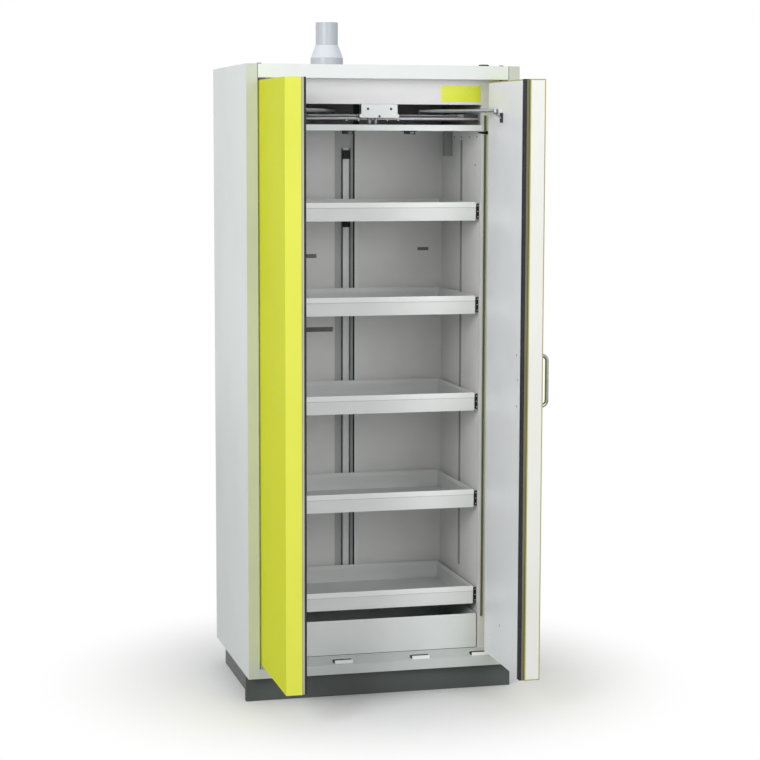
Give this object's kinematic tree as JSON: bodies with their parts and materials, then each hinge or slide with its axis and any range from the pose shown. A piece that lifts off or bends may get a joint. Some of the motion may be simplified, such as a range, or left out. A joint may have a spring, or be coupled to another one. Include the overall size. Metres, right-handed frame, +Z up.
{
  "type": "safety cabinet with pull-out trays",
  "caption": "Tall insulated safety cabinet with hinged doors, open pull-out trays on runners, a spill sump, a door closing mechanism and a round exhaust spigot on top.",
  "frame": {"origin": "floor level, at the middle of the body's width and depth", "axes": "+X to the right of a person in front of the cabinet, +Y to its rear panel, +Z up"},
  "size_m": [0.893, 0.9908, 2.2],
  "materials": {
    "casing_paint": "satin powder coat, light grey",
    "plinth_paint": "satin powder coat, anthracite",
    "mineral_board": "raw board, not seen from outside",
    "laminate": "smooth white laminate",
    "jamb_seal": "matt swelling strip, dark olive",
    "door_seal": "matt rubber, black",
    "door_paint": "satin powder coat, yellow",
    "edge_paint": "satin, off-white",
    "aluminium": "extruded, matt",
    "black_plastic": "moulded, black",
    "grey_plastic": "moulded, light grey",
    "tray_paint": "satin powder coat, light grey",
    "foot_steel": "zinc plated",
    "steel": "zinc plated or ground"
  },
  "bodies": {
    "cabinet": {"plinth_front_panel": "plinth_paint", "plinth_rails": "plinth_paint", "levelling_feet": "foot_steel", "base_pan": "casing_paint", "front_sill": "casing_paint", "side_panel_left": "casing_paint", "side_panel_right": "casing_paint", "top_panel": "casing_paint", "rear_panel": "casing_paint", "insulation_boards": "mineral_board", "front_jambs": "casing_paint", "jamb_seals": "jamb_seal", "side_linings": "laminate", "rear_boards": "laminate", "floor_plate": "laminate", "mechanism_shelf": "casing_paint", "cover_plate": "casing_paint", "centre_bracket": "casing_paint", "bracket_bolts": "steel", "guide_rail": "aluminium", "rail_end_brackets": "casing_paint", "closer_dampers": "steel", "thermal_release": "aluminium", "catch_blocks": "black_plastic", "run_on_blocks": "aluminium", "suction_rail": "aluminium", "rail_clips": "black_plastic", "air_duct": "grey_plastic", "exhaust_spigot": "grey_plastic", "top_caps": "black_plastic", "hinge_brackets": "steel", "hinge_pins": "steel", "outer_runners": "steel"},
    "door_left": {"door_left_shell": "door_paint", "door_left_core": "mineral_board", "door_left_inner_plate": "laminate", "door_left_seal": "door_seal", "door_left_pivot_blocks": "steel", "door_left_arm_bracket": "steel"},
    "door_right": {"door_right_shell": "door_paint", "door_right_core": "mineral_board", "door_right_inner_plate": "laminate", "door_right_seal": "door_seal", "door_right_pivot_blocks": "steel", "door_right_arm_bracket": "steel", "door_right_edge_plate": "edge_paint", "handle": "steel"},
    "arm_left": {"closer_arm_left": "steel"},
    "arm_right": {"closer_arm_right": "steel"},
    "tray_1": {"tray_1": "tray_paint"},
    "runners_1": {"middle_runners_1": "steel"},
    "tray_2": {"tray_2": "tray_paint"},
    "runners_2": {"middle_runners_2": "steel"},
    "tray_3": {"tray_3": "tray_paint"},
    "runners_3": {"middle_runners_3": "steel"},
    "tray_4": {"tray_4": "tray_paint"},
    "runners_4": {"middle_runners_4": "steel"},
    "tray_5": {"tray_5": "tray_paint"},
    "runners_5": {"middle_runners_5": "steel"},
    "sump": {"sump": "tray_paint"}
  },
  "joints": [
    {"name": "door_left_hinge", "type": "hinge", "parent": "cabinet", "child": "door_left", "pos_m": [-0.398, -0.294, 1.06], "axis": [0, 0, -1], "range_deg": [-90, 20]},
    {"name": "door_right_hinge", "type": "hinge", "parent": "cabinet", "child": "door_right", "pos_m": [0.398, -0.294, 1.06], "axis": [0, 0, 1], "range_deg": [-90, 20]},
    {"name": "arm_left_pivot", "type": "hinge", "parent": "door_left", "child": "arm_left", "pos_m": [-0.335, -0.4, 1.9], "axis": [0, 0, -1], "range_deg": [-30, 131]},
    {"name": "arm_right_pivot", "type": "hinge", "parent": "door_right", "child": "arm_right", "pos_m": [0.335, -0.4, 1.9], "axis": [0, 0, 1], "range_deg": [-30, 131]},
    {"name": "tray_1_slide", "type": "slide", "parent": "cabinet", "child": "tray_1", "axis": [0, -1, 0], "range_m": [0, 0.4]},
    {"name": "runners_1_slide", "type": "slide", "parent": "cabinet", "child": "runners_1", "axis": [0, -1, 0], "range_m": [0, 0.2]},
    {"name": "tray_2_slide", "type": "slide", "parent": "cabinet", "child": "tray_2", "axis": [0, -1, 0], "range_m": [0, 0.4]},
    {"name": "runners_2_slide", "type": "slide", "parent": "cabinet", "child": "runners_2", "axis": [0, -1, 0], "range_m": [0, 0.2]},
    {"name": "tray_3_slide", "type": "slide", "parent": "cabinet", "child": "tray_3", "axis": [0, -1, 0], "range_m": [0, 0.4]},
    {"name": "runners_3_slide", "type": "slide", "parent": "cabinet", "child": "runners_3", "axis": [0, -1, 0], "range_m": [0, 0.2]},
    {"name": "tray_4_slide", "type": "slide", "parent": "cabinet", "child": "tray_4", "axis": [0, -1, 0], "range_m": [0, 0.4]},
    {"name": "runners_4_slide", "type": "slide", "parent": "cabinet", "child": "runners_4", "axis": [0, -1, 0], "range_m": [0, 0.2]},
    {"name": "tray_5_slide", "type": "slide", "parent": "cabinet", "child": "tray_5", "axis": [0, -1, 0], "range_m": [0, 0.4]},
    {"name": "runners_5_slide", "type": "slide", "parent": "cabinet", "child": "runners_5", "axis": [0, -1, 0], "range_m": [0, 0.2]},
    {"name": "sump_slide", "type": "slide", "parent": "cabinet", "child": "sump", "axis": [0, -1, 0], "range_m": [0, 0.35]}
  ],
  "couplings": [
    {"joint": "arm_left_pivot", "follows": "door_left_hinge", "ratio": -1.4401},
    {"joint": "arm_right_pivot", "follows": "door_right_hinge", "ratio": -1.4401},
    {"joint": "runners_1_slide", "follows": "tray_1_slide", "ratio": 0.5},
    {"joint": "runners_2_slide", "follows": "tray_2_slide", "ratio": 0.5},
    {"joint": "runners_3_slide", "follows": "tray_3_slide", "ratio": 0.5},
    {"joint": "runners_4_slide", "follows": "tray_4_slide", "ratio": 0.5},
    {"joint": "runners_5_slide", "follows": "tray_5_slide", "ratio": 0.5}
  ]
}
